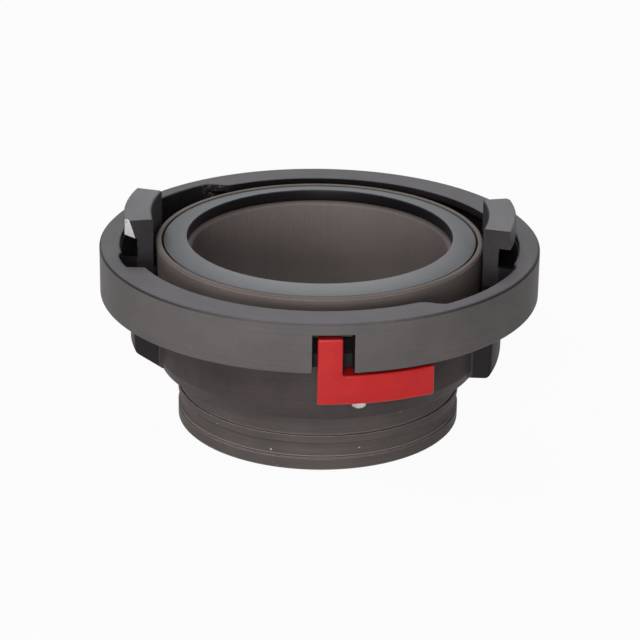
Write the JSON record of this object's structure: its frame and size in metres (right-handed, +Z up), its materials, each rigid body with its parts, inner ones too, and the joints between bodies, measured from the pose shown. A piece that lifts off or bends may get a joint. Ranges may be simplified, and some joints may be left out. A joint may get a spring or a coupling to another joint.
{
  "type": "storz hose coupling",
  "caption": "Symmetrical bayonet hose coupling with a turning hooked lock ring, face gasket, locking lever and a plain tail.",
  "frame": {"origin": "centre of the tailpiece's lower end face", "axes": "+Z up the waterway towards the hooks, -Y towards the locking lever, +X towards the right hook"},
  "size_m": [0.194, 0.194, 0.0969],
  "materials": {
    "tail_alloy": "hard anodised, turned",
    "gasket_rubber": "matte moulded rubber",
    "snap_steel": "spring wire",
    "ring_anodised": "dark hard anodised casting",
    "lever_red": "satin red paint",
    "pin_steel": "bright ground steel",
    "spring_steel": "spring wire"
  },
  "bodies": {
    "tail": {"tailpiece": "tail_alloy", "pressure_gasket": "gasket_rubber", "snap_ring": "snap_steel"},
    "ring": {"lock_ring": "ring_anodised", "lever_pin": "pin_steel", "lever_spring": "spring_steel"},
    "lever": {"lock_lever": "lever_red"}
  },
  "joints": [
    {"name": "ring_swivel", "type": "hinge", "parent": "tail", "child": "ring", "pos_m": [0, 0, 0.06], "axis": [0, 0, 1], "continuous": true},
    {"name": "lever_pivot", "type": "hinge", "parent": "ring", "child": "lever", "pos_m": [0.01709, -0.08632, 0.0524], "axis": [0, 0, 1], "range_deg": [0, 18], "stiffness_Nm_per_rad": 0.42, "springref_deg": -22.92, "deforming": ["lever_spring"]}
  ]
}
